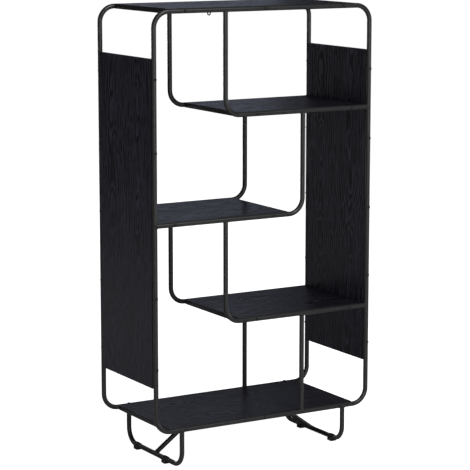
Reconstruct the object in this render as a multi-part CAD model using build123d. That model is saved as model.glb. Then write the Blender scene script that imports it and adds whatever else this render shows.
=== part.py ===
"""Open bookcase: two bent-tube frames joined by boards and side panels, on two sled legs.

X runs along the width, Y from the front (negative) to the back, Z up. The origin is on the
floor, in the middle of the width and of the depth. All sizes are in millimetres.
"""

import os
from math import cos, radians, sin, tan

from build123d import *

# ---------------------------------------------------------------- overall sizes
overall_width = 830.0  # over the outer tubes
overall_depth = 386.0  # over the front and rear tubes, without the bolt heads
overall_height = 1500.0  # floor to the top of the top rail

# ---------------------------------------------------------------- tubes
tube_diameter = 16.0
tube_wall = 1.5
frame_bend_radius = 52.0  # to the tube's centre line
leg_bend_radius = 50.0  # to the tube's centre line
saddle_lead = 2.0  # a saddle-cut end starts this far off the other tube's axis
post_offset = 147.0  # inner posts, each side of the middle
bay_count = 4  # rails share the frame's height evenly

# ---------------------------------------------------------------- boards and panels
board_thickness = 16.0
panel_thickness = 16.0
panel_end_margin = 148.0  # rail centre to the panel's end
shelf_end_gap = 0.5  # between a shelf and the side panel

# ---------------------------------------------------------------- legs
leg_drop = 124.0  # bottom rail's centre down to the ground run's centre
leg_inset = 94.5  # upright's centre in to the leg's centre
brace_slope = 36.0  # degrees from level
brace_plate_length = 70.0
brace_plate_width = 30.0
brace_plate_thickness = 3.0
brace_plate_corner = 5.0
brace_screw_spacing = 54.0

# ---------------------------------------------------------------- glides
glide_sole = 6.0  # plastic under the tube
glide_length = 24.0  # along the tube
glide_block_width = 22.0
glide_block_height = 12.0
glide_wall = 2.0  # collar round the tube
glide_slit = 3.0  # lets the collar snap over the tube
glide_edge = 1.5  # rounding of the block's sole
glide_near = 63.0  # leg arm's centre to the nearer glide
glide_far = 111.0  # leg arm's centre to the farther glide

# ---------------------------------------------------------------- bolts and inserts
bolt_diameter = 6.0
bolt_hole_clearance = 0.5  # on the diameter, in the tubes
bolt_length = 30.0  # under the head
leg_bolt_length = 36.0
bolt_head_diameter = 10.5
bolt_head_height = 2.8
bolt_head_rounding = 1.6
leg_bolt_head_height = 1.2  # thin heads, hidden behind the boards' edges
leg_bolt_head_rounding = 0.5
socket_across_flats = 4.0
socket_depth = 1.6
insert_diameter = 9.0
insert_length = 13.0
insert_flange_gap = 0.5  # insert's mouth below the board's edge
thread_clearance = 0.2  # on the diameter, bolt to insert or plug
insert_hole_depth = 19.0
plug_length = 22.0  # threaded plug in the top of a leg
plug_gap = 1.0  # plug's end below the rail
panel_bolt_count = 5
panel_bolt_inset = 63.0  # panel's end to the first bolt
shelf_bolt_count = 2
shelf_bolt_inset = 63.0
long_board_bolt_count = 3
long_board_bolt_inset = 57.0

# ---------------------------------------------------------------- wood screws
screw_diameter = 4.0
screw_length = 13.0
screw_head_diameter = 8.0
screw_head_height = 2.2
screw_hole_clearance = 0.5  # on the diameter, in the plates

# ---------------------------------------------------------------- wall bracket
bracket_width = 15.0
bracket_thickness = 1.5
bracket_drop = 33.0  # below the top board
bracket_tab = 26.0  # along the top board
bracket_hole_diameter = 6.0
bracket_hole_margin = 7.5  # hole's centre to the lower end
bracket_screw_margin = 10.0  # screw's centre to the tab's front end
bracket_setback = 1.0  # in from the board's rear edge

# ---------------------------------------------------------------- worked out from the above
tube_radius = tube_diameter / 2
tube_bore_radius = tube_radius - tube_wall
upright_x = overall_width / 2 - tube_radius
frame_y = overall_depth / 2 - tube_radius
ground_z = glide_sole + tube_radius
bottom_z = ground_z + leg_drop
top_z = overall_height - tube_radius
bay_height = (top_z - bottom_z) / bay_count
lower_z, middle_z, upper_z = (bottom_z + level * bay_height for level in (1, 2, 3))
leg_x = upright_x - leg_inset
board_depth = 2 * (frame_y - tube_radius)
shelf_end_x = upright_x - panel_thickness / 2 - shelf_end_gap
open_end_x = post_offset - frame_bend_radius  # where a shelf stops beside its bent post
long_board_end_x = upright_x - frame_bend_radius
panel_low_z = bottom_z + panel_end_margin
panel_high_z = top_z - panel_end_margin
bolt_hole_radius = (bolt_diameter + bolt_hole_clearance) / 2
board_low_offset = -board_thickness / 2  # board's underside from its rail's centre
front, rear = -1, 1
left, right = -1, 1


# ---------------------------------------------------------------- building blocks
def spread(start, end, count):
    """Evenly spaced places from start to end, both included."""
    return [start + (end - start) * i / (count - 1) for i in range(count)]


def rod(radius, start, end):
    """A solid round bar between two points."""
    a, b = Vector(*start), Vector(*end)
    plane = Plane(origin=a, z_dir=b - a)
    return extrude(plane * Circle(radius), (b - a).length)


def tube(path):
    """A round tube that follows a wire or a line."""
    plane = Plane(origin=path @ 0, z_dir=path % 0)
    return sweep(plane * (Circle(tube_radius) - Circle(tube_bore_radius)), path=path)


def cross_bar(height, depth):
    """The full round bar of a horizontal rail, used to cut a saddle in a tube's end."""
    reach = upright_x - frame_bend_radius
    return rod(tube_radius, (-reach, depth, height), (reach, depth, height))


def upright_bar(side, depth):
    """The full round bar of an outer upright, used to cut a saddle in a rail's end."""
    x = side * upright_x
    low, high = bottom_z + frame_bend_radius, top_z - frame_bend_radius
    return rod(tube_radius, (x, depth, low), (x, depth, high))


def along_y(radius, x, z, y_start, y_end):
    return rod(radius, (x, y_start, z), (x, y_end, z))


def bolt_holes(places, face):
    """Cross holes for bolts in one frame; places are (x, z) pairs."""
    y = face * frame_y
    reach = tube_diameter
    return [along_y(bolt_hole_radius, x, z, y - reach, y + reach) for x, z in places]


# ---------------------------------------------------------------- where the bolts go
panel_bolt_heights = spread(
    panel_low_z + panel_bolt_inset, panel_high_z - panel_bolt_inset, panel_bolt_count
)
long_board_bolt_xs = spread(
    -long_board_end_x + long_board_bolt_inset,
    long_board_end_x - long_board_bolt_inset,
    long_board_bolt_count,
)
right_shelf_bolt_xs = spread(
    -open_end_x + shelf_bolt_inset, shelf_end_x - shelf_bolt_inset, shelf_bolt_count
)
left_shelf_bolt_xs = [-x for x in right_shelf_bolt_xs]
bolt_xs_at = {
    top_z: long_board_bolt_xs,
    upper_z: right_shelf_bolt_xs,
    middle_z: left_shelf_bolt_xs,
    lower_z: right_shelf_bolt_xs,
    bottom_z: long_board_bolt_xs,
}
panel_bolt_places = [
    (side * upright_x, z) for side in (left, right) for z in panel_bolt_heights
]
board_bolt_places = [(x, z) for z, xs in bolt_xs_at.items() for x in xs]


def places_at(height):
    return [(x, height) for x in bolt_xs_at[height]]


# ---------------------------------------------------------------- frames
def outer_frame(face):
    """The closed loop of one frame: two uprights, top rail and bottom rail."""
    y = face * frame_y
    corners = [
        (-upright_x, y, bottom_z),
        (upright_x, y, bottom_z),
        (upright_x, y, top_z),
        (-upright_x, y, top_z),
    ]
    loop = tube(FilletPolyline(*corners, radius=frame_bend_radius, close=True))
    holes = bolt_holes(panel_bolt_places + places_at(top_z) + places_at(bottom_z), face)
    leg_holes = [
        rod(bolt_hole_radius, (x, y, bottom_z - tube_diameter), (x, y, bottom_z + tube_diameter))
        for x in (-leg_x, leg_x)
    ]
    return loop - holes - leg_holes


def bent_post(face, post_side, height_above, height):
    """A post that hangs from the rail above and bends outwards into its own shelf rail."""
    y = face * frame_y
    post_x = post_side * post_offset
    end_side = -post_side
    path = FilletPolyline(
        (post_x, y, height_above - saddle_lead),
        (post_x, y, height),
        (end_side * (upright_x - saddle_lead), y, height),
        radius=frame_bend_radius,
    )
    own_bolts = places_at(height)
    upright_bolts = [(end_side * upright_x, z) for z in panel_bolt_heights]
    holes = bolt_holes(own_bolts + upright_bolts, face)
    return tube(path) - cross_bar(height_above, y) - upright_bar(end_side, y) - holes


def base_post(face):
    """The straight post between the lowest shelf rail and the bottom rail."""
    y = face * frame_y
    path = Line(
        (post_offset, y, lower_z - saddle_lead), (post_offset, y, bottom_z + saddle_lead)
    )
    return tube(path) - cross_bar(lower_z, y) - cross_bar(bottom_z, y)


# ---------------------------------------------------------------- boards and panels
def drilled_board(x_low, x_high, height):
    """A horizontal board at a rail's height, with insert holes in its front and rear edges."""
    size = (x_high - x_low, board_depth, board_thickness)
    board = Location(((x_low + x_high) / 2, 0, height)) * Box(*size)
    return board - insert_holes(places_at(height))


def insert_holes(places):
    edge = board_depth / 2
    return [
        along_y(insert_diameter / 2, x, z, face * edge, face * (edge - insert_hole_depth))
        for x, z in places
        for face in (front, rear)
    ]


def side_panel(side):
    x = side * upright_x
    middle = (panel_low_z + panel_high_z) / 2
    panel = Location((x, 0, middle)) * Box(
        panel_thickness, board_depth, panel_high_z - panel_low_z
    )
    return panel - insert_holes([(x, z) for z in panel_bolt_heights])


# ---------------------------------------------------------------- legs
def leg(side):
    """A U of tube from the front bottom rail down, along the floor and up to the rear one."""
    x = side * leg_x
    start_z = bottom_z - saddle_lead
    path = FilletPolyline(
        (x, -frame_y, start_z),
        (x, -frame_y, ground_z),
        (x, frame_y, ground_z),
        (x, frame_y, start_z),
        radius=leg_bend_radius,
    )
    return tube(path) - [cross_bar(bottom_z, face * frame_y) for face in (front, rear)]


board_underside_z = bottom_z + board_low_offset
brace_top_z = board_underside_z - brace_plate_thickness
brace_reach = (brace_top_z - ground_z) / tan(radians(brace_slope))  # level run of the brace
brace_end_x = leg_x - brace_reach


def leg_brace(side):
    """A slanted tube from the middle of the leg's ground run to the plate under the board."""
    slope = radians(brace_slope)
    overshoot = tube_diameter / sin(slope)
    length = (brace_top_z - ground_z) / sin(slope) + overshoot
    inwards = Vector(-side * cos(slope), 0, sin(slope))
    foot = Vector(side * leg_x, 0, ground_z)
    bar = tube(Line(foot + inwards * saddle_lead, foot + inwards * length))
    x = side * leg_x
    ground_bar = rod(tube_radius, (x, -frame_y, ground_z), (x, frame_y, ground_z))
    above = Location((side * brace_end_x, 0, brace_top_z + overshoot)) * Box(
        4 * brace_reach, overall_depth, 2 * overshoot
    )
    return bar - ground_bar - above


def brace_screw_places():
    return [
        (side * brace_end_x, offset)
        for side in (left, right)
        for offset in (-brace_screw_spacing / 2, brace_screw_spacing / 2)
    ]


def brace_plate(side):
    """The plate on top of a brace, screwed up into the bottom board."""
    outline = RectangleRounded(brace_plate_width, brace_plate_length, brace_plate_corner)
    plate = extrude(Location((side * brace_end_x, 0, brace_top_z)) * outline, brace_plate_thickness)
    hole = (screw_diameter + screw_hole_clearance) / 2
    holes = [
        rod(hole, (x, y, brace_top_z), (x, y, board_underside_z))
        for x, y in brace_screw_places()
        if x * side > 0
    ]
    return plate - holes


def glide(side, face, arm_distance):
    """A snap-on plastic foot: a slit collar round the tube on a square block."""
    x, y = side * leg_x, face * (frame_y - arm_distance)
    half = glide_length / 2
    ends = ((x, y - half, ground_z), (x, y + half, ground_z))
    collar = rod(tube_radius + glide_wall, *ends)
    block = Location((x, y, glide_block_height / 2)) * Box(
        glide_block_width, glide_length, glide_block_height
    )
    sole_edges = block.edges().group_by(Axis.Z)[0]
    body = fillet(sole_edges, glide_edge) + collar
    slit_height = tube_radius + 2 * glide_wall
    slit = Location((x, y, ground_z + slit_height / 2)) * Box(
        glide_slit, 2 * glide_length, slit_height
    )
    return body - rod(tube_radius, *ends) - slit


# ---------------------------------------------------------------- fasteners
def screw_in(point, direction, head, shank_radius, length):
    """A headed fastener whose head's underside is at the point; it drives along direction."""
    plane = Plane(origin=point, z_dir=direction)
    shank = extrude(plane * Circle(shank_radius), length)
    return plane.location * head + shank


def button_head(height=bolt_head_height, rounding=bolt_head_rounding):
    """A low round head with a hex socket, made below its seat, which is at height 0."""
    disc = extrude(Circle(bolt_head_diameter / 2), -height)
    disc = fillet(disc.edges().group_by(Axis.Z)[0], rounding)
    hexagon = RegularPolygon(socket_across_flats / 2, 6, major_radius=False)
    return disc - extrude(Location((0, 0, -height)) * hexagon, socket_depth)


def frame_bolts(places):
    head = button_head()
    seat = frame_y + tube_radius
    return [
        screw_in((x, face * seat, z), (0, -face, 0), head, bolt_diameter / 2, bolt_length)
        for x, z in places
        for face in (front, rear)
    ]


def threaded_sleeve(outer_radius, start, end):
    bore = (bolt_diameter + thread_clearance) / 2
    return rod(outer_radius, start, end) - rod(bore, start, end)


def edge_inserts(places):
    """Threaded inserts sunk in the front and rear edges of a board or panel."""
    mouth = board_depth / 2 - insert_flange_gap
    sunk = mouth - insert_length
    return [
        threaded_sleeve(insert_diameter / 2, (x, face * mouth, z), (x, face * sunk, z))
        for x, z in places
        for face in (front, rear)
    ]


def leg_tops():
    return [(side * leg_x, face * frame_y) for side in (left, right) for face in (front, rear)]


def leg_bolts():
    """Bolts down through the bottom rails; the socket in their thin heads ends at the shank."""
    head = button_head(leg_bolt_head_height, leg_bolt_head_rounding)
    seat = bottom_z + tube_radius
    return [
        screw_in((x, y, seat), (0, 0, -1), head, bolt_diameter / 2, leg_bolt_length)
        for x, y in leg_tops()
    ]


def leg_plugs():
    """Threaded plugs fixed inside the tops of the legs."""
    high = bottom_z - tube_radius - plug_gap
    return [
        threaded_sleeve(tube_bore_radius, (x, y, high), (x, y, high - plug_length))
        for x, y in leg_tops()
    ]


def pan_head():
    """A wood screw's pan head with a cross-shaped recess, made below its seat."""
    radius, height = screw_head_diameter / 2, screw_head_height
    disc = extrude(Circle(radius), -height)
    disc = fillet(disc.edges().group_by(Axis.Z)[0], height / 2)
    arm, slot = radius, radius / 5
    cross = Rectangle(arm, slot) + Rectangle(slot, arm)
    return disc - extrude(Location((0, 0, -height)) * cross, height / 2)


def board_screw(x, y, seat_z):
    """A wood screw driven straight up into a board."""
    return screw_in((x, y, seat_z), (0, 0, 1), pan_head(), screw_diameter / 2, screw_length)


def board_screw_hole(x, y, seat_z):
    return rod(screw_diameter / 2, (x, y, seat_z), (x, y, seat_z + screw_length))


# ---------------------------------------------------------------- wall bracket
top_board_underside_z = top_z + board_low_offset
bracket_back_y = board_depth / 2 - bracket_setback
bracket_screw_y = bracket_back_y - bracket_tab + bracket_screw_margin
bracket_screw_seat_z = top_board_underside_z - bracket_thickness


def wall_bracket():
    """An angle of sheet steel: one leg under the top board, the other hanging with a hole."""
    half = bracket_width / 2
    tab_z = top_board_underside_z - bracket_thickness / 2
    tab_middle = (0, bracket_back_y - bracket_tab / 2, tab_z)
    tab = Location(tab_middle) * Box(bracket_width, bracket_tab, bracket_thickness)
    low_z = top_board_underside_z - bracket_drop
    flange_middle_y = bracket_back_y - bracket_thickness / 2
    straight = bracket_drop - half
    flange = Location((0, flange_middle_y, low_z + half + straight / 2)) * Box(
        bracket_width, bracket_thickness, straight
    )
    faces = (bracket_back_y - bracket_thickness, bracket_back_y)
    rounded_end = along_y(half, 0, low_z + half, *faces)
    hole_z = low_z + bracket_hole_margin
    hole = along_y(bracket_hole_diameter / 2, 0, hole_z, *faces)
    screw_hole = rod(
        (screw_diameter + screw_hole_clearance) / 2,
        (0, bracket_screw_y, bracket_screw_seat_z),
        (0, bracket_screw_y, top_board_underside_z),
    )
    return tab + flange + rounded_end - hole - screw_hole


# ---------------------------------------------------------------- the parts
def top_board():
    board = drilled_board(-long_board_end_x, long_board_end_x, top_z)
    return board - board_screw_hole(0, bracket_screw_y, bracket_screw_seat_z)


def bottom_board():
    board = drilled_board(-long_board_end_x, long_board_end_x, bottom_z)
    return board - [board_screw_hole(x, y, brace_top_z) for x, y in brace_screw_places()]


parts = {
    "top_board": top_board(),
    "upper_right_shelf": drilled_board(-open_end_x, shelf_end_x, upper_z),
    "middle_left_shelf": drilled_board(-shelf_end_x, open_end_x, middle_z),
    "lower_right_shelf": drilled_board(-open_end_x, shelf_end_x, lower_z),
    "bottom_board": bottom_board(),
    "panel_bolts": frame_bolts(panel_bolt_places),
    "board_bolts": frame_bolts(board_bolt_places),
    "panel_inserts": edge_inserts(panel_bolt_places),
    "board_inserts": edge_inserts(board_bolt_places),
    "leg_bolts": leg_bolts(),
    "leg_plugs": leg_plugs(),
    "brace_plate_screws": [board_screw(x, y, brace_top_z) for x, y in brace_screw_places()],
    "wall_bracket": wall_bracket(),
    "wall_bracket_screw": board_screw(0, bracket_screw_y, bracket_screw_seat_z),
}

for face_name, face in (("front", front), ("rear", rear)):
    parts[f"{face_name}_outer_frame"] = outer_frame(face)
    parts[f"{face_name}_upper_bent_post"] = bent_post(face, left, top_z, upper_z)
    parts[f"{face_name}_middle_bent_post"] = bent_post(face, right, upper_z, middle_z)
    parts[f"{face_name}_lower_bent_post"] = bent_post(face, left, middle_z, lower_z)
    parts[f"{face_name}_base_post"] = base_post(face)

# The right leg is the left one turned half round, so its nearer glide is at the front.
for side_name, side, near_face in (("left", left, rear), ("right", right, front)):
    parts[f"{side_name}_side_panel"] = side_panel(side)
    parts[f"{side_name}_leg"] = leg(side)
    parts[f"{side_name}_leg_brace"] = leg_brace(side)
    parts[f"{side_name}_brace_plate"] = brace_plate(side)
    for face_name, face in (("front", front), ("rear", rear)):
        distance = glide_near if face == near_face else glide_far
        parts[f"{side_name}_{face_name}_glide"] = glide(side, face, distance)

os.makedirs("parts", exist_ok=True)
for name, shape in parts.items():
    pieces = shape if isinstance(shape, list) else [shape]
    solids = [solid for piece in pieces for solid in piece.solids()]
    export_step(Compound(children=solids) if len(solids) > 1 else solids[0], f"parts/{name}.step")
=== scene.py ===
"""Open tubular bookcase, laid out as an add-on: sizes and finishes in property groups, one
operator for each group of pieces, and a sidebar panel that lists them. Lengths are in metres."""

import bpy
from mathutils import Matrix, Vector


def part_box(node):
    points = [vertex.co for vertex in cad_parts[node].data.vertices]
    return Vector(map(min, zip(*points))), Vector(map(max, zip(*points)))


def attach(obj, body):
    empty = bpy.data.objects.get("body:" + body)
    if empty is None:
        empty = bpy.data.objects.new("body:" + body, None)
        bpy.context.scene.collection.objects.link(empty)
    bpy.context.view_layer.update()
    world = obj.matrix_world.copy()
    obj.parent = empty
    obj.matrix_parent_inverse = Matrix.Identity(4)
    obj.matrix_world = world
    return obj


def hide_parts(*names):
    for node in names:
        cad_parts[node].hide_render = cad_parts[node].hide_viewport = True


bl_info = {
    "name": "Tubular Bookcase",
    "version": (1, 0, 0),
    "blender": (4, 5, 0),
    "location": "View3D > Sidebar > Bookcase",
    "description": "Builds an open bookcase of bent tube and dark wood-grain boards",
    "category": "Add Mesh",
}

from math import atan2, cos, pi, radians, sin, sqrt

import bpy
from bpy.props import FloatProperty, FloatVectorProperty, IntProperty, PointerProperty
from mathutils import Quaternion, Vector

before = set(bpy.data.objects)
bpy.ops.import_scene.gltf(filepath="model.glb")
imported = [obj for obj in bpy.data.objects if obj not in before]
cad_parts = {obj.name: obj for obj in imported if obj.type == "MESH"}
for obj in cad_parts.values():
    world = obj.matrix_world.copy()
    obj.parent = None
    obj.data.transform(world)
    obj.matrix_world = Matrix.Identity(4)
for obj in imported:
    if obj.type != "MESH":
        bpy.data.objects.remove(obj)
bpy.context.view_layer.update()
ROOT = "root"
X, Y, Z = Vector((1, 0, 0)), Vector((0, 1, 0)), Vector((0, 0, 1))
SIDES = {"left": -1, "right": 1}
FACES = {"front": -1, "rear": 1}


# ------------------------------------------------------------ places read from the frame
def middle(node):
    low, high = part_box(node)
    return (low + high) / 2


def spread(start, end, count):
    """Evenly spaced places from start to end, both included."""
    return [start + (end - start) * i / (count - 1) for i in range(count)]


tube_radius = (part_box("front_base_post")[1].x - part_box("front_base_post")[0].x) / 2
frame_low, frame_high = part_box("front_outer_frame")
upright_x = frame_high.x - tube_radius
frame_y = -middle("front_outer_frame").y
bottom_z = frame_low.z + tube_radius
top_z = frame_high.z - tube_radius
upper_z, middle_z, lower_z = (
    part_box(f"front_{level}_bent_post")[0].z + tube_radius for level in ("upper", "middle", "lower")
)
post_x = middle("front_base_post").x
ground_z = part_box("left_leg")[0].z + tube_radius
leg_x = middle("right_leg").x


# ------------------------------------------------------------ what a user would change
def length(name, description, default):
    return FloatProperty(
        name=name, description=description, default=default, min=0, unit="LENGTH", precision=5
    )


def colour(name, description, default):
    return FloatVectorProperty(
        name=name, description=description, default=default, size=3, subtype="COLOR", min=0, max=1
    )


class BookcaseTubes(bpy.types.PropertyGroup):
    frame_bend: length("Frame bend", "Centre-line radius of the frame's bends", 0.052)
    leg_bend: length("Leg bend", "Centre-line radius of the legs' bends", 0.050)
    saddle_lead: length("Saddle lead", "How far off the other tube's axis an end starts", 0.002)
    weld_radius: length("Weld bead", "Thickness of the weld beads in the joints' corners", 0.0016)
    plate_edge: length("Plate edge", "Rounding of the brace plates' edges", 0.0004)
    sides: IntProperty(name="Sides", description="Facets round a tube", default=48, min=12)
    bend_steps: IntProperty(name="Bend steps", description="Rings in a bend", default=16, min=4)


class BookcaseBoards(bpy.types.PropertyGroup):
    edge: length("Edge rounding", "Rounding of the boards' edges", 0.0009)
    band: length("Edge band", "Thickness of the edge band that shows round each face", 0.0011)
    band_joint: length("Band joint", "Depth of the fine joint beside the edge band", 0.00012)


class BookcaseFasteners(bpy.types.PropertyGroup):
    head_diameter: length("Head diameter", "Diameter of the button heads", 0.0105)
    head_height: length("Head height", "Height of the button heads", 0.0028)
    head_rounding: length("Head rounding", "Rounding of the button heads' rims", 0.0021)
    leg_head_height: length("Leg bolt head height", "Height of the leg bolts' heads", 0.0012)
    leg_head_rounding: length("Leg bolt head rounding", "Rounding of the leg bolts' heads", 0.0005)
    socket: length("Socket", "Hexagon socket, across its corners", 0.0046)
    socket_depth: length("Socket depth", "Depth of the hexagon socket", 0.0016)
    shank: length("Shank", "Diameter of the bolts", 0.006)
    panel_inset: length("Panel inset", "Panel's end to its first bolt", 0.063)
    shelf_inset: length("Shelf inset", "Shelf's end to its first bolt", 0.063)
    long_inset: length("Long board inset", "Long board's end to its first bolt", 0.057)
    screw_head: length("Screw head", "Diameter of the wood screws' heads", 0.008)
    screw_height: length("Screw head height", "Height of the wood screws' heads", 0.0022)
    bracket_sheet: length("Bracket sheet", "Thickness of the wall bracket", 0.0015)
    bracket_edge: length("Bracket edge", "Rounding of the wall bracket's edges", 0.00015)


class BookcaseGlides(bpy.types.PropertyGroup):
    wall: length("Collar wall", "Thickness of the collar round the tube", 0.002)
    block_height: length("Block height", "Height of the block under the tube", 0.012)
    slit: length("Slit", "Width of the collar's slit", 0.003)
    edge: length("Edge rounding", "Rounding of the block's edges", 0.0015)
    play: length("Play", "Gap between the bore and the tube", 0.00005)


class BookcaseFinishes(bpy.types.PropertyGroup):
    tube: colour("Tube", "Powder coat on the tubes", (0.020, 0.0198, 0.0200))
    board: colour("Board", "Dark ground of the wood grain", (0.0036, 0.0034, 0.0058))
    grain: colour("Grain", "Lighter lines of the wood grain", (0.070, 0.066, 0.099))
    band: colour("Edge band", "Edge band of the boards", (0.0050, 0.0050, 0.0065))
    plastic: colour("Plastic", "Moulded glides", (0.016, 0.016, 0.017))
    bolt: colour("Bolt", "Black oxide on the bolts", (0.018, 0.018, 0.019))
    zinc: colour("Zinc", "Zinc plate on the bracket and the hidden fittings", (0.55, 0.56, 0.58))
    # Level boards get a darker copy of the panels' veneer: painted shade, not a different wood.
    level_painted_shade: FloatProperty(
        name="Level tone", description="Tone of the level boards, as a share of the panels'",
        default=0.38, min=0,
    )
    leaf_width: length("Leaf width", "Width of a veneer leaf, heart line to heart line", 0.177)
    ring_spacing: length("Ring spacing", "Mean distance between the grain's lines", 0.0115)
    ring_dip: length("Ring dip", "How far the cut dips in and out of the rings", 0.15)
    grain_sway: length("Grain sway", "How far the grain wanders sideways", 0.04)


class BookcaseStage(bpy.types.PropertyGroup):
    heading: FloatProperty(
        name="Heading", description="Camera turned from the front",
        default=radians(30.7), subtype="ANGLE",
    )
    pitch: FloatProperty(
        name="Pitch", description="Camera tipped down", default=radians(9.61), subtype="ANGLE"
    )
    place: FloatVectorProperty(
        name="Place", description="Where the camera stands",
        default=(-3.342, -5.625, 1.834), unit="LENGTH",
    )
    lens: FloatProperty(name="Lens", description="Focal length in mm", default=151.4, min=1)
    floor_size: length("Floor", "Side of the floor", 60)
    surround: FloatProperty(
        name="Surround", description="Light from all round", default=0.03, min=0
    )
    mirrored: FloatProperty(
        name="Mirrored", description="Brightness of the room in reflections", default=0.05, min=0
    )
    bounce: FloatProperty(
        name="Bounce", description="Share of light that the floor throws back",
        default=0.75, min=0, max=1,
    )
    floor_glow: FloatProperty(
        name="Floor glow", description="How much the floor is lit from within", default=1.0, min=0
    )


GROUPS = {
    "bookcase_tubes": BookcaseTubes,
    "bookcase_boards": BookcaseBoards,
    "bookcase_fasteners": BookcaseFasteners,
    "bookcase_glides": BookcaseGlides,
    "bookcase_finishes": BookcaseFinishes,
    "bookcase_stage": BookcaseStage,
}


# ------------------------------------------------------------ hand work
def put_down():
    """Leaves edit mode with nothing selected."""
    if bpy.context.object and bpy.context.object.mode != "OBJECT":
        bpy.ops.object.mode_set(mode="OBJECT")
    bpy.ops.object.select_all(action="DESELECT")


def pick_up(piece):
    """Makes one piece the only selected one, and the active one."""
    put_down()
    piece.select_set(True)
    bpy.context.view_layer.objects.active = piece
    return piece


def added(name):
    piece = bpy.context.object
    piece.name = piece.data.name = name
    return piece


def set_down(piece):
    """Moves a piece's place, turn and scale into its mesh."""
    pick_up(piece)
    bpy.ops.object.transform_apply(location=True, rotation=True, scale=True)
    return piece


def edit(piece, mode="FACE", faces=None, edges=None):
    """Opens a piece in edit mode with the faces or edges that a test accepts selected."""
    pick_up(piece)
    mesh = piece.data
    for item in (*mesh.vertices, *mesh.edges, *mesh.polygons):
        item.select = False
    if faces:
        for face in mesh.polygons:
            face.select = faces(face)
    if edges:
        for line in mesh.edges:
            line.select = edges(*(mesh.vertices[i].co for i in line.vertices))
    bpy.ops.object.mode_set(mode="EDIT")
    bpy.ops.mesh.select_mode(type=mode)


def bar(name, radius, start, end, sides, roll=0.0):
    """A closed round bar between two points, rolled about its own axis."""
    put_down()
    start, end = Vector(start), Vector(end)
    turn = ((end - start).to_track_quat("Z", "Y") @ Quaternion(Z, roll)).to_euler()
    bpy.ops.mesh.primitive_cylinder_add(
        vertices=sides, radius=radius, depth=(end - start).length,
        location=(start + end) / 2, rotation=turn,
    )
    return set_down(added(name))


def block(name, low, high):
    put_down()
    low, high = Vector(low), Vector(high)
    bpy.ops.mesh.primitive_cube_add(size=1, location=(low + high) / 2, scale=high - low)
    return set_down(added(name))


def finish_with(piece, kind, **settings):
    """Adds a modifier with these settings and applies it."""
    pick_up(piece)
    modifier = piece.modifiers.new(kind.title(), kind)
    for key, value in settings.items():
        setattr(modifier, key, value)
    bpy.ops.object.modifier_apply(modifier=modifier.name)
    return piece


def combine(piece, other, operation):
    """Cuts the other piece away from this one, or adds it, and throws the other away."""
    finish_with(piece, "BOOLEAN", object=other, operation=operation, solver="EXACT")
    bpy.data.meshes.remove(other.data)
    return piece


def soften(piece, width, segments=2, angle=radians(40)):
    return finish_with(
        piece, "BEVEL", width=width, segments=segments, limit_method="ANGLE", angle_limit=angle
    )


def join(pieces, name):
    put_down()
    for piece in pieces:
        piece.select_set(True)
    bpy.context.view_layer.objects.active = pieces[0]
    bpy.ops.object.join()
    return added(name)


def copy_to(model, places, name):
    """Copies a model, made at the origin, to each (place, direction of its +Z), as one piece."""
    copies = []
    for place, direction in places:
        twin = model.copy()
        twin.data = model.data.copy()
        bpy.context.scene.collection.objects.link(twin)
        twin.rotation_euler = Vector(direction).to_track_quat("Z", "Y").to_euler()
        twin.location = place
        copies.append(set_down(twin))
    bpy.data.meshes.remove(model.data)
    return join(copies, name)


def smooth(piece, angle=radians(35)):
    pick_up(piece)
    bpy.ops.object.shade_smooth_by_angle(angle=angle)
    return piece


def hand_over(piece, material, slot, *nodes, angle=radians(35)):
    """Gives a finished piece its finish, shading, body and the frame nodes it stands for."""
    if material:
        piece.data.materials.clear()
        piece.data.materials.append(material)
    smooth(piece, angle)
    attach(piece, ROOT)
    if nodes:
        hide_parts(*nodes)
    return piece


# ------------------------------------------------------------ tubes
def bent_tube(name, start, steps, closed=False):
    """Draws a tube as by hand: a ring is extruded along each straight run and spun through
    each bend. A step is a straight run (a vector) or a bend (its radius and the way it turns)."""
    sizes = bpy.context.scene.bookcase_tubes
    here, heading = Vector(start), steps[0].normalized()
    put_down()
    bpy.ops.mesh.primitive_circle_add(
        vertices=sizes.sides,
        radius=tube_radius,
        fill_type="NOTHING",
        location=here,
        rotation=heading.to_track_quat("Z", "Y").to_euler(),
    )
    piece = added(name)
    edit(piece, "VERT")
    bpy.ops.mesh.select_all(action="SELECT")
    for step in steps:
        if isinstance(step, Vector):
            bpy.ops.mesh.extrude_region_move(TRANSFORM_OT_translate={"value": step})
            here += step
        else:
            radius, inwards = step
            centre = here + inwards * radius
            bpy.ops.mesh.spin(
                steps=sizes.bend_steps, angle=pi / 2, center=centre, axis=inwards.cross(heading)
            )
            here, heading = centre + heading * radius, inwards
    bpy.ops.mesh.select_all(action="SELECT")
    if closed:
        bpy.ops.mesh.remove_doubles(threshold=0.00001)
    else:
        bpy.ops.mesh.fill_holes(sides=0)
    bpy.ops.mesh.select_all(action="SELECT")
    bpy.ops.mesh.normals_make_consistent(inside=False)
    return set_down(piece)


def saddle(piece, start, end):
    """Cuts a saddle in a tube's end, where it meets another tube that lies from start to end.
    The cutter is rolled by half a facet, so that no edge of it meets an edge of the tube."""
    sides = bpy.context.scene.bookcase_tubes.sides
    cutter = bar("saddle_cutter", tube_radius, start, end, sides, roll=pi / sides)
    return combine(piece, cutter, "DIFFERENCE")


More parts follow.
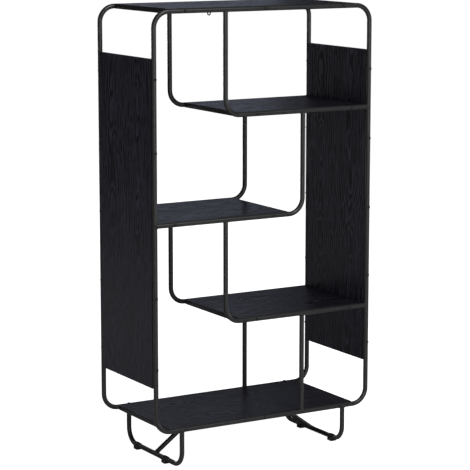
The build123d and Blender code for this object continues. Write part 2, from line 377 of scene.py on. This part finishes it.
def weld(place, out, along):
    """A weld bead round a saddle joint: out points along the joined tube, away from the other,
    and along is the other tube's direction. The bead thins where the two tubes lie flush."""
    radius = bpy.context.scene.bookcase_tubes.weld_radius
    ripples, ripple_depth = 26, 0.16
    flush_share, taper = 0.12, 0.8
    put_down()
    bpy.ops.mesh.primitive_torus_add(
        major_segments=72, minor_segments=8, major_radius=tube_radius, minor_radius=radius
    )
    piece = added("weld")
    across = out.cross(along)
    for vertex in piece.data.vertices:
        x, y, z = vertex.co
        ring = sqrt(x * x + y * y)
        turn = atan2(y, x)
        crotch = abs(cos(turn))
        ripple = 1 + ripple_depth * sin(ripples * turn)
        share = (flush_share + (1 - flush_share) * crotch**taper) * ripple
        out_from_tube, up = (ring - tube_radius) * share, z * share
        reach = tube_radius + out_from_tube
        height = tube_radius * crotch + up
        flat = along * (reach * cos(turn)) + across * (reach * sin(turn))
        vertex.co = Vector(place) + flat + out * height
    edit(piece)
    bpy.ops.mesh.select_all(action="SELECT")
    bpy.ops.mesh.normals_make_consistent(inside=False)
    put_down()
    return piece


def rail_line(y, z):
    return (-upright_x, y, z), (upright_x, y, z)


def upright_line(side, y):
    return (side * upright_x, y, bottom_z + tube_radius), (side * upright_x, y, top_z - tube_radius)


class BOOKCASE_OT_outer_frames(bpy.types.Operator):
    """Draw the two closed outer loops"""

    bl_idname = "bookcase.outer_frames"
    bl_label = "Outer Frames"

    def execute(self, context):
        bend = context.scene.bookcase_tubes.frame_bend
        half_width = upright_x - bend
        upright = top_z - bottom_z - 2 * bend
        for face_name, face in FACES.items():
            steps = [
                X * half_width, (bend, Z), Z * upright, (bend, -X), -X * 2 * half_width,
                (bend, -Z), -Z * upright, (bend, X), X * half_width,
            ]
            loop = bent_tube(
                f"{face_name}_loop", (0, face * frame_y, bottom_z), steps, closed=True
            )
            hand_over(loop, powder_coat(), "powder_coated_tube", f"{face_name}_outer_frame")
        return {"FINISHED"}


class BOOKCASE_OT_bent_posts(bpy.types.Operator):
    """Draw the bent posts that carry the shelves, the straight posts, and their welds"""

    bl_idname = "bookcase.bent_posts"
    bl_label = "Posts and Shelf Rails"

    def execute(self, context):
        sizes = context.scene.bookcase_tubes
        bend, lead = sizes.frame_bend, sizes.saddle_lead
        levels = (
            ("upper", -1, top_z, upper_z),
            ("middle", 1, upper_z, middle_z),
            ("lower", -1, middle_z, lower_z),
        )
        for face_name, face in FACES.items():
            y = face * frame_y
            welds = []
            for level, side, high_z, rail_z in levels:
                outwards = -side * X
                run = upright_x + post_x - bend - lead
                post = bent_tube(
                    f"{face_name}_{level}_post",
                    (side * post_x, y, high_z - lead),
                    [-Z * (high_z - lead - rail_z - bend), (bend, outwards), outwards * run],
                )
                saddle(post, *rail_line(y, high_z))
                saddle(post, *upright_line(-side, y))
                hand_over(
                    post, powder_coat(), "powder_coated_tube", f"{face_name}_{level}_bent_post"
                )
                welds.append(weld((side * post_x, y, high_z), -Z, X))
                welds.append(weld((-side * upright_x, y, rail_z), -outwards, Z))
            base = bent_tube(
                f"{face_name}_straight_post",
                (post_x, y, lower_z - lead),
                [-Z * (lower_z - bottom_z - 2 * lead)],
            )
            saddle(base, *rail_line(y, lower_z))
            saddle(base, *rail_line(y, bottom_z))
            hand_over(base, powder_coat(), "powder_coated_tube", f"{face_name}_base_post")
            welds.append(weld((post_x, y, lower_z), -Z, X))
            welds.append(weld((post_x, y, bottom_z), Z, X))
            hand_over(join(welds, f"{face_name}_welds"), powder_coat(), "powder_coated_tube")
        return {"FINISHED"}


class BOOKCASE_OT_legs(bpy.types.Operator):
    """Draw the sled legs with their slanted braces, plates and welds"""

    bl_idname = "bookcase.legs"
    bl_label = "Sled Legs and Braces"

    def execute(self, context):
        sizes = context.scene.bookcase_tubes
        bend, lead = sizes.leg_bend, sizes.saddle_lead
        arm = bottom_z - lead - ground_z - bend
        for side_name, side in SIDES.items():
            x = side * leg_x
            leg = bent_tube(
                f"{side_name}_sled",
                (x, -frame_y, bottom_z - lead),
                [-Z * arm, (bend, Y), Y * 2 * (frame_y - bend), (bend, Z), Z * arm],
            )
            for face in FACES.values():
                saddle(leg, *rail_line(face * frame_y, bottom_z))
            hand_over(leg, powder_coat(), "powder_coated_tube", f"{side_name}_leg")

            plate_low, plate_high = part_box(f"{side_name}_brace_plate")
            head = Vector((middle(f"{side_name}_brace_plate").x, 0, plate_low.z))
            foot = Vector((x, 0, ground_z))
            upwards = (head - foot).normalized()
            brace = bar(
                f"{side_name}_slanted_brace", tube_radius, foot + upwards * lead,
                head + upwards * 4 * tube_radius, sizes.sides,
            )
            saddle(brace, (x, -frame_y + bend, ground_z), (x, frame_y - bend, ground_z))
            edit(brace)
            bpy.ops.mesh.select_all(action="SELECT")
            bpy.ops.mesh.bisect(plane_co=head, plane_no=Z, use_fill=True, clear_outer=True)
            put_down()
            hand_over(brace, powder_coat(), "powder_coated_tube", f"{side_name}_leg_brace")

            plate = block(f"{side_name}_fixing_plate", plate_low, plate_high)
            half_thickness = (plate_high.z - plate_low.z) / 2
            edit(plate, "EDGE", edges=lambda a, b: abs(a.z - b.z) > half_thickness)
            bpy.ops.mesh.bevel(offset=(plate_high.x - plate_low.x) / 6, segments=6)
            put_down()
            soften(plate, sizes.plate_edge)
            hand_over(plate, powder_coat(), "powder_coated_tube", f"{side_name}_brace_plate")

            welds = [weld(foot, upwards, Y)]
            welds += [weld((x, face * frame_y, bottom_z), -Z, X) for face in FACES.values()]
            hand_over(join(welds, f"{side_name}_leg_welds"), powder_coat(), "powder_coated_tube")
        return {"FINISHED"}


# ------------------------------------------------------------ boards
def edged_board(name, node, material):
    """A board with rounded edges, an edge band all round and the fine joint beside it."""
    sizes = bpy.context.scene.bookcase_boards
    low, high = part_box(node)
    size = high - low
    thin = min(range(3), key=lambda i: size[i])
    board = block(name, low, high)
    edit(board, faces=lambda face: abs(face.normal[thin]) > 0.9)
    bpy.ops.mesh.inset(thickness=sizes.band, depth=0, use_individual=True)
    bpy.ops.mesh.inset(thickness=sizes.band_joint, depth=-sizes.band_joint, use_individual=True)
    put_down()
    soften(board, sizes.edge, 3, radians(80))
    board.data.materials.append(material)
    board.data.materials.append(edge_band())
    rim = 1.5 * sizes.band
    inside = [(low[i] + rim, high[i] - rim) for i in range(3)]
    for face in board.data.polygons:
        on_face = all(
            inside[i][0] < face.center[i] < inside[i][1] for i in range(3) if i != thin
        )
        face.material_index = 0 if on_face else 1
    return board


class BOOKCASE_OT_boards(bpy.types.Operator):
    """Make the shelves, the top and bottom boards and the side panels"""

    bl_idname = "bookcase.boards"
    bl_label = "Boards and Side Panels"

    def execute(self, context):
        boards = {
            "top_deck": "top_board",
            "upper_shelf": "upper_right_shelf",
            "middle_shelf": "middle_left_shelf",
            "lower_shelf": "lower_right_shelf",
            "bottom_deck": "bottom_board",
        }
        for name, node in boards.items():
            hand_over(edged_board(name, node, wood("level")), None, "dark_wood_grain_board", node)
        for side_name in SIDES:
            node = f"{side_name}_side_panel"
            board = edged_board(f"{side_name}_panel", node, wood("upright"))
            hand_over(board, None, "dark_wood_grain_board", node)
        return {"FINISHED"}


# ------------------------------------------------------------ fasteners
def button_bolt(height, rounding):
    """A round-head bolt with a hexagon socket; its seat is at the origin and it faces +Z."""
    sizes = bpy.context.scene.bookcase_fasteners
    head = bar("bolt", sizes.head_diameter / 2, (0, 0, 0), (0, 0, height), 32)
    edit(head, "EDGE", edges=lambda a, b: min(a.z, b.z) > height / 2)
    bpy.ops.mesh.bevel(offset=rounding, segments=5, profile=0.55)
    put_down()
    floor = height - sizes.socket_depth
    hexagon = bar("hexagon", sizes.socket / 2, (0, 0, floor), (0, 0, 2 * height), 6)
    combine(head, hexagon, "DIFFERENCE")
    shank = bar("shank", sizes.shank / 2, (0, 0, -2 * sizes.shank), (0, 0, 0), 16)
    return combine(head, shank, "UNION")


def pan_screw():
    """A pan-head wood screw with a cross recess; its seat is at the origin and it faces +Z."""
    sizes = bpy.context.scene.bookcase_fasteners
    radius, height = sizes.screw_head / 2, sizes.screw_height
    head = bar("screw", radius, (0, 0, 0), (0, 0, height), 32)
    edit(head, "EDGE", edges=lambda a, b: min(a.z, b.z) > height / 2)
    bpy.ops.mesh.bevel(offset=height / 2, segments=4)
    put_down()
    arm, slot = radius / 2, radius / 8
    for x, y in ((arm, slot), (slot, arm)):
        cut = block("cross", (-x, -y, height / 2), (x, y, 2 * height))
        combine(head, cut, "DIFFERENCE")
    return head


class BOOKCASE_OT_bolts(bpy.types.Operator):
    """Set the button-head bolts in the frames and the bottom rails"""

    bl_idname = "bookcase.bolts"
    bl_label = "Bolts"

    def execute(self, context):
        sizes = context.scene.bookcase_fasteners
        button = sizes.head_height, sizes.head_rounding
        outwards = [(face * (frame_y + tube_radius), face * Y) for face in FACES.values()]

        low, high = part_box("left_side_panel")
        heights = spread(low.z + sizes.panel_inset, high.z - sizes.panel_inset, 5)
        places = [
            ((side * upright_x, y, z), out)
            for side in SIDES.values() for z in heights for y, out in outwards
        ]
        bolts = copy_to(button_bolt(*button), places, "upright_bolts")
        hand_over(bolts, black_oxide(), "black_bolt", "panel_bolts")

        places = []
        rows = (
            ("top_board", sizes.long_inset, 3),
            ("upper_right_shelf", sizes.shelf_inset, 2),
            ("middle_left_shelf", sizes.shelf_inset, 2),
            ("lower_right_shelf", sizes.shelf_inset, 2),
            ("bottom_board", sizes.long_inset, 3),
        )
        for node, inset, count in rows:
            low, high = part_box(node)
            z = middle(node).z
            for x in spread(low.x + inset, high.x - inset, count):
                places += [((x, y, z), out) for y, out in outwards]
        bolts = copy_to(button_bolt(*button), places, "rail_bolts")
        hand_over(bolts, black_oxide(), "black_bolt", "board_bolts")

        places = [
            ((side * leg_x, face * frame_y, bottom_z + tube_radius), Z)
            for side in SIDES.values() for face in FACES.values()
        ]
        thin = sizes.leg_head_height, sizes.leg_head_rounding
        bolts = copy_to(button_bolt(*thin), places, "leg_top_bolts")
        hand_over(bolts, black_oxide(), "black_bolt", "leg_bolts")
        return {"FINISHED"}


class BOOKCASE_OT_wall_bracket(bpy.types.Operator):
    """Fold the wall bracket and set the wood screws"""

    bl_idname = "bookcase.wall_bracket"
    bl_label = "Wall Bracket and Screws"

    def execute(self, context):
        sizes = context.scene.bookcase_fasteners
        low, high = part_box("wall_bracket")
        half = (high.x - low.x) / 2
        sheet = sizes.bracket_sheet
        bracket = block("angle_bracket", (-half, high.y - sheet, low.z), (half, high.y, high.z))

        def lower_corner(a, b):
            return max(a.z, b.z) < low.z + sheet and abs(a.y - b.y) > sheet / 2

        def outer_fold(a, b):
            return min(a.y, b.y) > high.y - sheet / 4 and min(a.z, b.z) > high.z - sheet / 4

        edit(bracket, "EDGE", edges=lower_corner)
        bpy.ops.mesh.bevel(offset=half * 0.95, segments=10)
        put_down()
        edit(bracket)
        bpy.ops.mesh.select_all(action="SELECT")
        bpy.ops.mesh.bisect(plane_co=(0, 0, high.z - sheet), plane_no=Z)
        put_down()
        edit(bracket, faces=lambda face: face.normal.y < -0.9 and face.center.z > high.z - sheet)
        bpy.ops.mesh.extrude_region_move(
            TRANSFORM_OT_translate={"value": (0, low.y - high.y + sheet, 0)}
        )
        put_down()
        edit(bracket, "EDGE", edges=outer_fold)
        bpy.ops.mesh.bevel(offset=sheet * 0.9, segments=8)
        put_down()
        eye = low.z + half
        hole = bar("hole", half * 0.4, (0, high.y - 3 * sheet, eye), (0, high.y + sheet, eye), 32)
        combine(bracket, hole, "DIFFERENCE")
        soften(bracket, sizes.bracket_edge)
        hand_over(bracket, zinc(), "zinc_steel", "wall_bracket", angle=radians(15))

        place = middle("wall_bracket_screw")
        place.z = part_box("wall_bracket_screw")[0].z + sizes.screw_height
        screw = copy_to(pan_screw(), [(place, -Z)], "bracket_screw")
        hand_over(screw, zinc(), "zinc_steel", "wall_bracket_screw")

        low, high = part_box("brace_plate_screws")
        inset = sizes.screw_head / 2
        places = [
            ((x, y, low.z + sizes.screw_height), -Z)
            for x in (low.x + inset, high.x - inset) for y in (low.y + inset, high.y - inset)
        ]
        screws = copy_to(pan_screw(), places, "plate_screws")
        hand_over(screws, zinc(), "zinc_steel", "brace_plate_screws")
        return {"FINISHED"}


# ------------------------------------------------------------ glides
class BOOKCASE_OT_glides(bpy.types.Operator):
    """Mould the snap-on glides under the legs"""

    bl_idname = "bookcase.glides"
    bl_label = "Glides"

    def execute(self, context):
        sizes = context.scene.bookcase_glides
        facets, overrun = 64, 0.01
        for side_name in SIDES:
            for face_name in FACES:
                node = f"{side_name}_{face_name}_glide"
                low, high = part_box(node)
                centre = (low + high) / 2
                ends = [(centre.x, y, ground_z) for y in (low.y, high.y)]
                past = [(centre.x, y, ground_z) for y in (low.y - overrun, high.y + overrun)]
                foot = block("foot", low, (high.x, high.y, sizes.block_height))
                soften(foot, sizes.edge, 3)
                collar = bar("collar", tube_radius + sizes.wall, *ends, facets)
                soften(collar, sizes.edge / 3)
                combine(foot, collar, "UNION")
                bore = bar("bore", tube_radius + sizes.play, *past, facets)
                combine(foot, bore, "DIFFERENCE")
                slit = block(
                    "slit",
                    (centre.x - sizes.slit / 2, past[0][1], ground_z),
                    (centre.x + sizes.slit / 2, past[1][1], high.z + sizes.wall),
                )
                combine(foot, slit, "DIFFERENCE")
                foot.name = foot.data.name = f"{side_name}_{face_name}_foot"
                hand_over(foot, moulded_plastic(), "glide_plastic", node)
        return {"FINISHED"}


# ------------------------------------------------------------ shader work
def node(tree, kind, **settings):
    made = tree.nodes.new(kind)
    for key, value in settings.items():
        setattr(made, key, value)
    return made


def feed(tree, socket, value):
    """Links an output to an input, or sets the input to a plain value."""
    if isinstance(value, bpy.types.NodeSocket):
        tree.links.new(value, socket)
    elif value is not None:
        socket.default_value = value


def calculate(tree, operation, *values):
    made = node(tree, "ShaderNodeMath", operation=operation)
    for socket, value in zip(made.inputs, values):
        feed(tree, socket, value)
    return made.outputs[0]


def ramp(tree, value, low, high):
    """0 at low and below, 1 at high and above, smooth between."""
    made = node(tree, "ShaderNodeMapRange", interpolation_type="SMOOTHSTEP")
    for name, number in (("Value", value), ("From Min", low), ("From Max", high)):
        feed(tree, made.inputs[name], number)
    return made.outputs[0]


def noise(tree, vector, scale, detail=2.0, roughness=0.5):
    made = node(tree, "ShaderNodeTexNoise")
    inputs = {"Vector": vector, "Scale": scale, "Detail": detail, "Roughness": roughness}
    for name, value in inputs.items():
        feed(tree, made.inputs[name], value)
    return made.outputs["Fac"]


def long_noise(tree, vector, scales, detail, roughness=0.5):
    """Noise with a scale of its own along each axis, for patterns that run along one of them."""
    made = node(tree, "ShaderNodeVectorMath", operation="MULTIPLY")
    feed(tree, made.inputs[0], vector)
    made.inputs[1].default_value = scales
    return noise(tree, made.outputs[0], 1.0, detail, roughness)


def new_group(name, inputs, outputs):
    tree = bpy.data.node_groups.new(name, "ShaderNodeTree")
    for socket, kind, default in inputs:
        made = tree.interface.new_socket(socket, in_out="INPUT", socket_type=kind)
        if default is not None:
            made.default_value = default
    for socket in outputs:
        tree.interface.new_socket(socket, in_out="OUTPUT", socket_type="NodeSocketFloat")
    return tree, node(tree, "NodeGroupInput").outputs, node(tree, "NodeGroupOutput").inputs


def wood_figure_group():
    """Flat-sawn grain. X runs along the grain, Y across it, Z through the board. Each leaf has
    a heart line down its middle, and the cut dips in and out of the rings along it, so that the
    rings close there into long narrow arches and run straight beside them."""
    name = "wood_figure"
    if name in bpy.data.node_groups:
        return bpy.data.node_groups[name]
    tree, given, out = new_group(
        name,
        [
            ("Vector", "NodeSocketVector", None),
            ("Leaf Width", "NodeSocketFloat", 0.177),
            ("Ring Spacing", "NodeSocketFloat", 0.0115),
            ("Dip", "NodeSocketFloat", 0.15),
            ("Sway", "NodeSocketFloat", 0.04),
        ],
        ["Lines", "Streaks", "Fibres", "Pores", "Cloud"],
    )
    place = given["Vector"]
    split = node(tree, "ShaderNodeSeparateXYZ")
    feed(tree, split.inputs[0], place)
    across = split.outputs[1]
    drift = calculate(tree, "SUBTRACT", long_noise(tree, place, (4.5, 9, 5), 3), 0.5)
    swayed = calculate(tree, "MULTIPLY_ADD", drift, given["Sway"], across)
    half_leaf = calculate(tree, "DIVIDE", given["Leaf Width"], 2.0)
    from_heart = calculate(tree, "PINGPONG", swayed, half_leaf)
    dips = calculate(tree, "SUBTRACT", long_noise(tree, place, (4, 4, 5), 2), 0.36)
    height = calculate(tree, "MULTIPLY", dips, given["Dip"])
    squares = [calculate(tree, "MULTIPLY", side, side) for side in (from_heart, height)]
    radius = calculate(tree, "SQRT", calculate(tree, "ADD", *squares))
    fray = calculate(tree, "MULTIPLY", long_noise(tree, place, (12, 170, 60), 3), 1.3)
    turns = calculate(tree, "DIVIDE", radius, given["Ring Spacing"])
    through_ring = calculate(tree, "FRACT", calculate(tree, "ADD", turns, fray))
    rise = ramp(tree, through_ring, 0.35, 0.85)
    fall = ramp(tree, through_ring, 1.0, 0.90)
    feed(tree, out["Lines"], calculate(tree, "MULTIPLY", rise, fall))
    feed(tree, out["Streaks"], long_noise(tree, place, (4, 130, 130), 3, 0.6))
    feed(tree, out["Fibres"], long_noise(tree, place, (9, 620, 620), 3, 0.6))
    dashes = ramp(tree, long_noise(tree, place, (38, 1500, 1500), 1), 0.57, 0.66)
    late_wood = ramp(tree, rise, 0.1, 0.8)
    feed(tree, out["Pores"], calculate(tree, "MULTIPLY", dashes, late_wood))
    feed(tree, out["Cloud"], long_noise(tree, place, (2.5, 9, 9), 2))
    return tree


def coat_texture_group():
    """Fine pebbling and slow variation of a sprayed or moulded skin."""
    name = "coat_texture"
    if name in bpy.data.node_groups:
        return bpy.data.node_groups[name]
    tree, given, out = new_group(
        name,
        [("Vector", "NodeSocketVector", None), ("Pebble Size", "NodeSocketFloat", 0.0009)],
        ["Pebbles", "Cloud"],
    )
    scale = calculate(tree, "DIVIDE", 1.0, given["Pebble Size"])
    feed(tree, out["Pebbles"], noise(tree, given["Vector"], scale, 2.0, 0.55))
    feed(tree, out["Cloud"], noise(tree, given["Vector"], 9.0, 3.0))
    return tree


def edge_wear_group():
    """How much of a rim or corner a place is, from the mesh's own curvature, broken up a little."""
    name = "edge_wear"
    if name in bpy.data.node_groups:
        return bpy.data.node_groups[name]
    tree, given, out = new_group(
        name, [("Vector", "NodeSocketVector", None), ("Reach", "NodeSocketFloat", 0.54)], ["Wear"]
    )
    curvature = node(tree, "ShaderNodeNewGeometry").outputs["Pointiness"]
    rim = ramp(tree, curvature, given["Reach"], 0.62)
    patches = ramp(tree, noise(tree, given["Vector"], 120.0, 3.0), 0.35, 0.65)
    feed(tree, out["Wear"], calculate(tree, "MULTIPLY", rim, patches))
    return tree


def new_material(name):
    material = bpy.data.materials.new(name)
    material.use_nodes = True
    tree = material.node_tree
    shader = tree.nodes["Principled BSDF"]
    coordinates = node(tree, "ShaderNodeTexCoord").outputs["Object"]
    return material, tree, shader, coordinates


def place_group(tree, group, **values):
    made = node(tree, "ShaderNodeGroup", node_tree=group)
    for name, value in values.items():
        feed(tree, made.inputs[name.replace("_", " ")], value)
    return made.outputs


def blend_colours(tree, share, first, second):
    made = node(tree, "ShaderNodeMix", data_type="RGBA")
    feed(tree, made.inputs["Factor"], share)
    for socket, value in ((made.inputs[6], first), (made.inputs[7], second)):
        feed(tree, socket, value if isinstance(value, bpy.types.NodeSocket) else (*value, 1))
    return made.outputs[2]


def scaled(tint, factor):
    return [channel * factor for channel in tint]


def relief(tree, shader, heights):
    """Stacks bumps; heights are (height, distance, strength) from coarse to fine."""
    normal = None
    for height, distance, strength in heights:
        bump = node(tree, "ShaderNodeBump")
        bump.inputs["Distance"].default_value = distance
        bump.inputs["Strength"].default_value = strength
        feed(tree, bump.inputs["Height"], height)
        feed(tree, bump.inputs["Normal"], normal)
        normal = bump.outputs[0]
    feed(tree, shader.inputs["Normal"], normal)


def coated(name, tint, pebble, rough, depth, metallic=0.0, wear=0.25):
    """A sprayed, plated or moulded skin: pebbled, slightly clouded, paler on its rims."""
    if name in bpy.data.materials:
        return bpy.data.materials[name]
    material, tree, shader, coordinates = new_material(name)
    skin = place_group(tree, coat_texture_group(), Vector=coordinates, Pebble_Size=pebble)
    rim = place_group(tree, edge_wear_group(), Vector=coordinates)["Wear"]
    clouded = blend_colours(tree, skin["Cloud"], scaled(tint, 0.88), scaled(tint, 1.12))
    speckled = blend_colours(
        tree, calculate(tree, "MULTIPLY", skin["Pebbles"], 0.3), clouded, scaled(tint, 1.35)
    )
    worn = blend_colours(tree, calculate(tree, "MULTIPLY", rim, wear), speckled, scaled(tint, 2.2))
    feed(tree, shader.inputs["Base Color"], worn)
    roughness = calculate(tree, "MULTIPLY_ADD", skin["Cloud"], 0.12, rough - 0.06)
    feed(tree, shader.inputs["Roughness"], roughness)
    shader.inputs["Metallic"].default_value = metallic
    relief(tree, shader, [(skin["Pebbles"], depth, 0.6)])
    return material


def powder_coat():
    tint = bpy.context.scene.bookcase_finishes.tube
    return coated("powder_coat", tint, pebble=0.0011, rough=0.36, depth=0.00006)


def moulded_plastic():
    tint = bpy.context.scene.bookcase_finishes.plastic
    return coated("moulded_plastic", tint, pebble=0.0005, rough=0.52, depth=0.00003)


def black_oxide():
    tint = bpy.context.scene.bookcase_finishes.bolt
    return coated(
        "black_oxide", tint, pebble=0.0004, rough=0.34, depth=0.00001, metallic=0.35, wear=0.5
    )


def zinc():
    tint = bpy.context.scene.bookcase_finishes.zinc
    return coated(
        "zinc_plate", tint, pebble=0.0006, rough=0.36, depth=0.00001, metallic=1.0, wear=0.1
    )


def wood(lie):
    """Dark veneer with paler grain lines; the grain runs along X on a level board and along Z
    on an upright one. The level boards' copy is darkened all over, as painted shade."""
    name = f"dark_wood_{lie}"
    if name in bpy.data.materials:
        return bpy.data.materials[name]
    finishes = bpy.context.scene.bookcase_finishes
    material, tree, shader, coordinates = new_material(name)
    turned = node(tree, "ShaderNodeMapping")
    feed(tree, turned.inputs["Vector"], coordinates)
    # The third value darkens the level boards' veneer all over: painted shade.
    along, turn, tone = {
        "upright": (0.13, pi / 2, 1.0),
        "level": (0.31, 0.0, finishes.level_painted_shade),
    }[lie]
    turned.inputs["Location"].default_value = (along, finishes.leaf_width / 2, 0)
    turned.inputs["Rotation"].default_value = (0, turn, 0)
    figure = place_group(
        tree, wood_figure_group(), Vector=turned.outputs[0], Leaf_Width=finishes.leaf_width,
        Ring_Spacing=finishes.ring_spacing, Dip=finishes.ring_dip, Sway=finishes.grain_sway,
    )
    fade = ramp(tree, figure["Cloud"], 0.25, 0.65)
    contrast = calculate(tree, "MULTIPLY_ADD", fade, 0.40, 0.52)
    lines = calculate(tree, "MULTIPLY", figure["Lines"], contrast)
    streaks = ramp(tree, figure["Streaks"], 0.35, 0.75)
    mask = calculate(tree, "MULTIPLY_ADD", streaks, 0.30, lines)
    fibres = calculate(tree, "SUBTRACT", figure["Fibres"], 0.4)
    mask = calculate(tree, "MULTIPLY_ADD", fibres, 0.5, mask)
    # Ground and grain lines are both darkened on the level boards: painted shade.
    grained = blend_colours(
        tree, mask, scaled(finishes.board, tone), scaled(finishes.grain, tone)
    )
    pores = calculate(tree, "MULTIPLY", figure["Pores"], 0.7)
    pored = blend_colours(tree, pores, grained, scaled(finishes.board, 0.45))
    feed(tree, shader.inputs["Base Color"], pored)
    roughness = calculate(tree, "MULTIPLY_ADD", mask, 0.34, 0.24)
    feed(tree, shader.inputs["Roughness"], roughness)
    shader.inputs["Specular IOR Level"].default_value = 0.15
    relief(
        tree, shader,
        [
            (figure["Lines"], 0.00025, 0.5),
            (figure["Fibres"], 0.00006, 0.5),
            (calculate(tree, "SUBTRACT", 1.0, figure["Pores"]), 0.00009, 0.7),
        ],
    )
    return material


def edge_band():
    tint = bpy.context.scene.bookcase_finishes.band
    return coated("edge_band", tint, pebble=0.0007, rough=0.5, depth=0.00003, wear=0.35)


class BOOKCASE_OT_hidden_fittings(bpy.types.Operator):
    """Give the fittings that are kept from the frame their zinc finish"""

    bl_idname = "bookcase.hidden_fittings"
    bl_label = "Inserts and Plugs"

    def execute(self, context):
        for name in ("panel_inserts", "board_inserts", "leg_plugs"):
            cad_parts[name].material_slots[0].material = zinc()
        return {"FINISHED"}


# ------------------------------------------------------------ stage
class BOOKCASE_OT_stage(bpy.types.Operator):
    """Lay the pale floor, hang the soft lights and stand the camera"""

    bl_idname = "bookcase.stage"
    bl_label = "Floor, Lights and Camera"

    def execute(self, context):
        settings = context.scene.bookcase_stage
        self.floor(settings)
        self.surround(context.scene, settings)
        neutral, cool = (1, 1, 1), (0.72, 0.78, 1)
        # Each softbox: name, place, what it points at, side, watts, tint. The first five light
        # the main view, the right and back ones the sides it doesn't show.
        softboxes = (
            ("key_softbox", (0.8, -4.2, 5.0), (0, 0, 0.8), 1.8, 190, neutral),
            ("front_softbox", (-1.0, -5.8, 1.5), (0, 0, 0.8), 1.6, 60, neutral),
            ("fill_softbox", (-2.4, -5.4, 0.25), (0, 0, 0.6), 1.2, 8, neutral),
            ("side_softbox", (-6.5, -2.2, 1.6), (0, 0, 0.8), 5.0, 38, neutral),
            ("rear_softbox", (2.4, 5.25, 2.6), (0, 0, 1.2), 1.8, 4.3, cool),
            ("right_softbox", (6.0, -1.2, 0.7), (0, 0, 0.7), 2.5, 65, neutral),
            ("back_softbox", (0.6, 6.0, 0.5), (0, 0, 0.7), 1.6, 65, neutral),
            ("floor_softbox", (-1.8, 2.2, 1.6), (-1.8, 2.2, 0), 1.0, 8, neutral),
        )
        for name, place, aim, side, power, tint in softboxes:
            self.softbox(name, Vector(place), Vector(aim), side, power, tint)
        self.camera(context.scene, settings)
        context.scene.view_settings.view_transform = "Standard"
        return {"FINISHED"}

    def floor(self, settings):
        """A pale floor that the camera sees as lit from within, so that it stays clean and
        white, while to all other light it is a plain matt grey."""
        put_down()
        bpy.ops.mesh.primitive_plane_add(size=settings.floor_size)
        floor = set_down(added("floor"))
        material, tree, shader, coordinates = new_material("pale_floor")
        seen = node(tree, "ShaderNodeLightPath").outputs["Is Camera Ray"]
        cloud = noise(tree, coordinates, 1.5)
        tone = blend_colours(tree, cloud, (0.88, 0.88, 0.88), (0.92, 0.92, 0.92))
        grey = [settings.bounce] * 3
        feed(tree, shader.inputs["Base Color"], blend_colours(tree, seen, grey, tone))
        shader.inputs["Roughness"].default_value = 0.9
        shader.inputs["Specular IOR Level"].default_value = 0.1
        shader.inputs["Emission Color"].default_value = (1, 1, 1, 1)
        glow = calculate(tree, "MULTIPLY", seen, settings.floor_glow)
        feed(tree, shader.inputs["Emission Strength"], glow)
        floor.data.materials.append(material)

    def surround(self, scene, settings):
        """A white backdrop to the camera, and a dim even light on the surfaces and in their
        reflections."""
        world = bpy.data.worlds.new("surround")
        scene.world = world
        world.use_nodes = True
        world.cycles.sampling_method = "NONE"
        tree = world.node_tree
        tree.nodes.clear()
        rays = node(tree, "ShaderNodeLightPath").outputs
        shown = None
        for tint, strength, ray in (
            ((0.92, 0.95, 1, 1), settings.surround, None),
            ((0.84, 0.90, 1, 1), settings.mirrored, "Is Glossy Ray"),
            ((1, 1, 1, 1), 1, "Is Camera Ray"),
        ):
            background = node(tree, "ShaderNodeBackground")
            background.inputs["Color"].default_value = tint
            background.inputs["Strength"].default_value = strength
            if ray:
                chosen = node(tree, "ShaderNodeMixShader")
                for socket, value in zip(chosen.inputs, (rays[ray], shown, background.outputs[0])):
                    feed(tree, socket, value)
                shown = chosen.outputs[0]
            else:
                shown = background.outputs[0]
        feed(tree, node(tree, "ShaderNodeOutputWorld").inputs[0], shown)

    def softbox(self, name, place, aim, side, power, tint):
        put_down()
        turn = (aim - place).to_track_quat("-Z", "Y").to_euler()
        bpy.ops.object.light_add(type="AREA", location=place, rotation=turn)
        light = bpy.context.object
        light.name = name
        light.data.energy = power
        light.data.size = side
        light.data.color = tint
        light.visible_camera = False

    def camera(self, scene, settings):
        put_down()
        bpy.ops.object.camera_add(
            location=settings.place, rotation=(pi / 2 - settings.pitch, 0, -settings.heading)
        )
        camera = bpy.context.object
        camera.data.lens = settings.lens
        camera.data.sensor_width = 36
        camera.data.clip_end = 100
        scene.camera = camera


class BOOKCASE_PT_sidebar(bpy.types.Panel):
    """Bookcase sizes, finishes and building steps"""

    bl_idname = "BOOKCASE_PT_sidebar"
    bl_label = "Bookcase"
    bl_space_type = "VIEW_3D"
    bl_region_type = "UI"
    bl_category = "Bookcase"

    def draw(self, context):
        for name in GROUPS:
            column = self.layout.box().column()
            group = getattr(context.scene, name)
            for key in group.__annotations__:
                column.prop(group, key)
        for step in STEPS:
            self.layout.operator(step.bl_idname)


STEPS = (
    BOOKCASE_OT_stage,
    BOOKCASE_OT_outer_frames,
    BOOKCASE_OT_bent_posts,
    BOOKCASE_OT_legs,
    BOOKCASE_OT_boards,
    BOOKCASE_OT_bolts,
    BOOKCASE_OT_wall_bracket,
    BOOKCASE_OT_glides,
    BOOKCASE_OT_hidden_fittings,
)


def register():
    for made in (*GROUPS.values(), *STEPS, BOOKCASE_PT_sidebar):
        bpy.utils.register_class(made)
    for name, group in GROUPS.items():
        setattr(bpy.types.Scene, name, PointerProperty(type=group))


def unregister():
    for name in GROUPS:
        delattr(bpy.types.Scene, name)
    for made in (BOOKCASE_PT_sidebar, *reversed(STEPS), *reversed(GROUPS.values())):
        bpy.utils.unregister_class(made)


def main():
    register()
    for step in STEPS:
        group, action = step.bl_idname.split(".")
        getattr(getattr(bpy.ops, group), action)()
    put_down()


if __name__ == "__main__":
    main()
